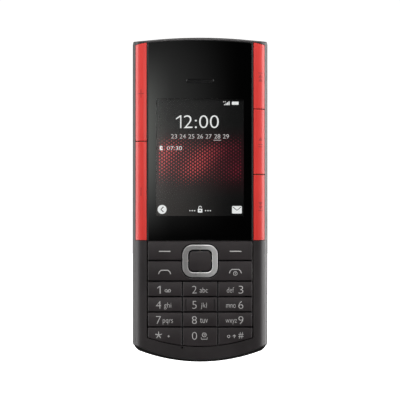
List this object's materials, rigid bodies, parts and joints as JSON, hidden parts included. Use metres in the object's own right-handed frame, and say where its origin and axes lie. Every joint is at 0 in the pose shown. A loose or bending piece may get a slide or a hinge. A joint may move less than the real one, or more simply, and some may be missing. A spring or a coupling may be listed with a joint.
{
  "type": "slider phone",
  "caption": "Upright keypad phone with glossy window, red side keys and a rear cover that slides down its back to bare wireless earbuds in a tray.",
  "frame": {"origin": "centre of the phone's box with the slider closed", "axes": "+X to the right seen from the front, +Y out of the back, +Z to the top of the upright phone"},
  "size_m": [0.058, 0.0148, 0.1396],
  "materials": {
    "dark_shell": "satin, dark warm grey",
    "window": "glossy, black rim and clear middle",
    "display": "glossy",
    "steel": "plain",
    "red_keys": "satin red",
    "key_plastic": "satin, near black",
    "ring": "satin silver",
    "rubber": "matt",
    "film": "amber film",
    "board": "green",
    "black_parts": "matt",
    "lens": "glossy, dark",
    "lamp": "clear, pale yellow",
    "cell": "film wrapped",
    "brass": "plated",
    "bud_shell": "glossy",
    "bud_cap": "satin red"
  },
  "bodies": {
    "phone": {"front_housing": "dark_shell", "front_window": "window", "display_panel": "display", "earpiece_mesh": "steel", "earpiece_receiver": "black_parts", "side_key_flexes": "film", "keypad_mat": "rubber", "dome_sheet": "film", "main_board": "board", "shield_cans": "steel", "card_holders": "steel", "microphone": "black_parts", "vibration_motor": "steel", "loudspeaker": "black_parts", "headset_socket": "black_parts", "usb_socket": "steel", "camera_module": "black_parts", "camera_window": "lens", "flash_lamp": "lamp", "chassis": "steel", "battery": "cell", "battery_contacts": "brass", "earbud_right": "bud_shell", "earbud_left": "bud_shell", "earbud_caps": "bud_cap", "charge_pins": "brass", "earbud_tray": "black_parts", "rear_housing": "dark_shell", "battery_door": "dark_shell", "housing_screws": "steel", "slide_rails": "steel", "detent_springs": "steel"},
    "slider": {"slider_cover": "dark_shell", "slider_plate": "steel", "slide_runners": "black_parts", "side_grips": "red_keys"},
    "navi_rocker": {"navigation_pad": "rubber"},
    "navi_ring": {"navigation_ring": "ring"},
    "centre_button": {"centre_key": "key_plastic"},
    "volume_up_key_body": {"volume_up_key": "red_keys"},
    "volume_down_key_body": {"volume_down_key": "red_keys"},
    "next_key_body": {"next_key": "red_keys"},
    "play_key_body": {"play_key": "red_keys"},
    "previous_key_body": {"previous_key": "red_keys"},
    "soft_key_left_body": {"soft_key_left": "key_plastic"},
    "soft_key_right_body": {"soft_key_right": "key_plastic"},
    "call_key_body": {"call_key": "key_plastic"},
    "end_key_body": {"end_key": "key_plastic"},
    "key_1_body": {"key_1": "key_plastic"},
    "key_2_body": {"key_2": "key_plastic"},
    "key_3_body": {"key_3": "key_plastic"},
    "key_4_body": {"key_4": "key_plastic"},
    "key_5_body": {"key_5": "key_plastic"},
    "key_6_body": {"key_6": "key_plastic"},
    "key_7_body": {"key_7": "key_plastic"},
    "key_8_body": {"key_8": "key_plastic"},
    "key_9_body": {"key_9": "key_plastic"},
    "key_star_body": {"key_star": "key_plastic"},
    "key_0_body": {"key_0": "key_plastic"},
    "key_hash_body": {"key_hash": "key_plastic"}
  },
  "joints": [
    {"name": "slider_travel", "type": "slide", "parent": "phone", "child": "slider", "axis": [0, 0, -1], "range_m": [0, 0.046]},
    {"name": "volume_up_key_press", "type": "slide", "parent": "phone", "child": "volume_up_key_body", "axis": [0, 1, 0], "range_m": [0, 0.00025], "stiffness_N_per_m": 1500, "springref_m": -0.0002},
    {"name": "volume_down_key_press", "type": "slide", "parent": "phone", "child": "volume_down_key_body", "axis": [0, 1, 0], "range_m": [0, 0.00025], "stiffness_N_per_m": 1500, "springref_m": -0.0002},
    {"name": "next_key_press", "type": "slide", "parent": "phone", "child": "next_key_body", "axis": [0, 1, 0], "range_m": [0, 0.00025], "stiffness_N_per_m": 1500, "springref_m": -0.0002},
    {"name": "play_key_press", "type": "slide", "parent": "phone", "child": "play_key_body", "axis": [0, 1, 0], "range_m": [0, 0.00025], "stiffness_N_per_m": 1500, "springref_m": -0.0002},
    {"name": "previous_key_press", "type": "slide", "parent": "phone", "child": "previous_key_body", "axis": [0, 1, 0], "range_m": [0, 0.00025], "stiffness_N_per_m": 1500, "springref_m": -0.0002},
    {"name": "soft_key_left_press", "type": "slide", "parent": "phone", "child": "soft_key_left_body", "axis": [0, 1, 0], "range_m": [0, 0.00025], "stiffness_N_per_m": 1500, "springref_m": -0.0002},
    {"name": "soft_key_right_press", "type": "slide", "parent": "phone", "child": "soft_key_right_body", "axis": [0, 1, 0], "range_m": [0, 0.00025], "stiffness_N_per_m": 1500, "springref_m": -0.0002},
    {"name": "call_key_press", "type": "slide", "parent": "phone", "child": "call_key_body", "axis": [0, 1, 0], "range_m": [0, 0.00025], "stiffness_N_per_m": 1500, "springref_m": -0.0002},
    {"name": "end_key_press", "type": "slide", "parent": "phone", "child": "end_key_body", "axis": [0, 1, 0], "range_m": [0, 0.00025], "stiffness_N_per_m": 1500, "springref_m": -0.0002},
    {"name": "key_1_press", "type": "slide", "parent": "phone", "child": "key_1_body", "axis": [0, 1, 0], "range_m": [0, 0.00025], "stiffness_N_per_m": 1500, "springref_m": -0.0002},
    {"name": "key_2_press", "type": "slide", "parent": "phone", "child": "key_2_body", "axis": [0, 1, 0], "range_m": [0, 0.00025], "stiffness_N_per_m": 1500, "springref_m": -0.0002},
    {"name": "key_3_press", "type": "slide", "parent": "phone", "child": "key_3_body", "axis": [0, 1, 0], "range_m": [0, 0.00025], "stiffness_N_per_m": 1500, "springref_m": -0.0002},
    {"name": "key_4_press", "type": "slide", "parent": "phone", "child": "key_4_body", "axis": [0, 1, 0], "range_m": [0, 0.00025], "stiffness_N_per_m": 1500, "springref_m": -0.0002},
    {"name": "key_5_press", "type": "slide", "parent": "phone", "child": "key_5_body", "axis": [0, 1, 0], "range_m": [0, 0.00025], "stiffness_N_per_m": 1500, "springref_m": -0.0002},
    {"name": "key_6_press", "type": "slide", "parent": "phone", "child": "key_6_body", "axis": [0, 1, 0], "range_m": [0, 0.00025], "stiffness_N_per_m": 1500, "springref_m": -0.0002},
    {"name": "key_7_press", "type": "slide", "parent": "phone", "child": "key_7_body", "axis": [0, 1, 0], "range_m": [0, 0.00025], "stiffness_N_per_m": 1500, "springref_m": -0.0002},
    {"name": "key_8_press", "type": "slide", "parent": "phone", "child": "key_8_body", "axis": [0, 1, 0], "range_m": [0, 0.00025], "stiffness_N_per_m": 1500, "springref_m": -0.0002},
    {"name": "key_9_press", "type": "slide", "parent": "phone", "child": "key_9_body", "axis": [0, 1, 0], "range_m": [0, 0.00025], "stiffness_N_per_m": 1500, "springref_m": -0.0002},
    {"name": "key_star_press", "type": "slide", "parent": "phone", "child": "key_star_body", "axis": [0, 1, 0], "range_m": [0, 0.00025], "stiffness_N_per_m": 1500, "springref_m": -0.0002},
    {"name": "key_0_press", "type": "slide", "parent": "phone", "child": "key_0_body", "axis": [0, 1, 0], "range_m": [0, 0.00025], "stiffness_N_per_m": 1500, "springref_m": -0.0002},
    {"name": "key_hash_press", "type": "slide", "parent": "phone", "child": "key_hash_body", "axis": [0, 1, 0], "range_m": [0, 0.00025], "stiffness_N_per_m": 1500, "springref_m": -0.0002},
    {"name": "centre_key_press", "type": "slide", "parent": "phone", "child": "centre_button", "axis": [0, 1, 0], "range_m": [0, 0.00025], "stiffness_N_per_m": 1500, "springref_m": -0.0002},
    {"name": "navi_up_down", "type": "hinge", "parent": "phone", "child": "navi_rocker", "pos_m": [0, -0.00575, -0.02565], "axis": [1, 0, 0], "range_deg": [-1.2, 1.2], "stiffness_Nm_per_rad": 0.4},
    {"name": "navi_left_right", "type": "hinge", "parent": "navi_rocker", "child": "navi_ring", "pos_m": [0, -0.00575, -0.02565], "axis": [0, 0, 1], "range_deg": [-1.2, 1.2], "stiffness_Nm_per_rad": 0.4}
  ]
}
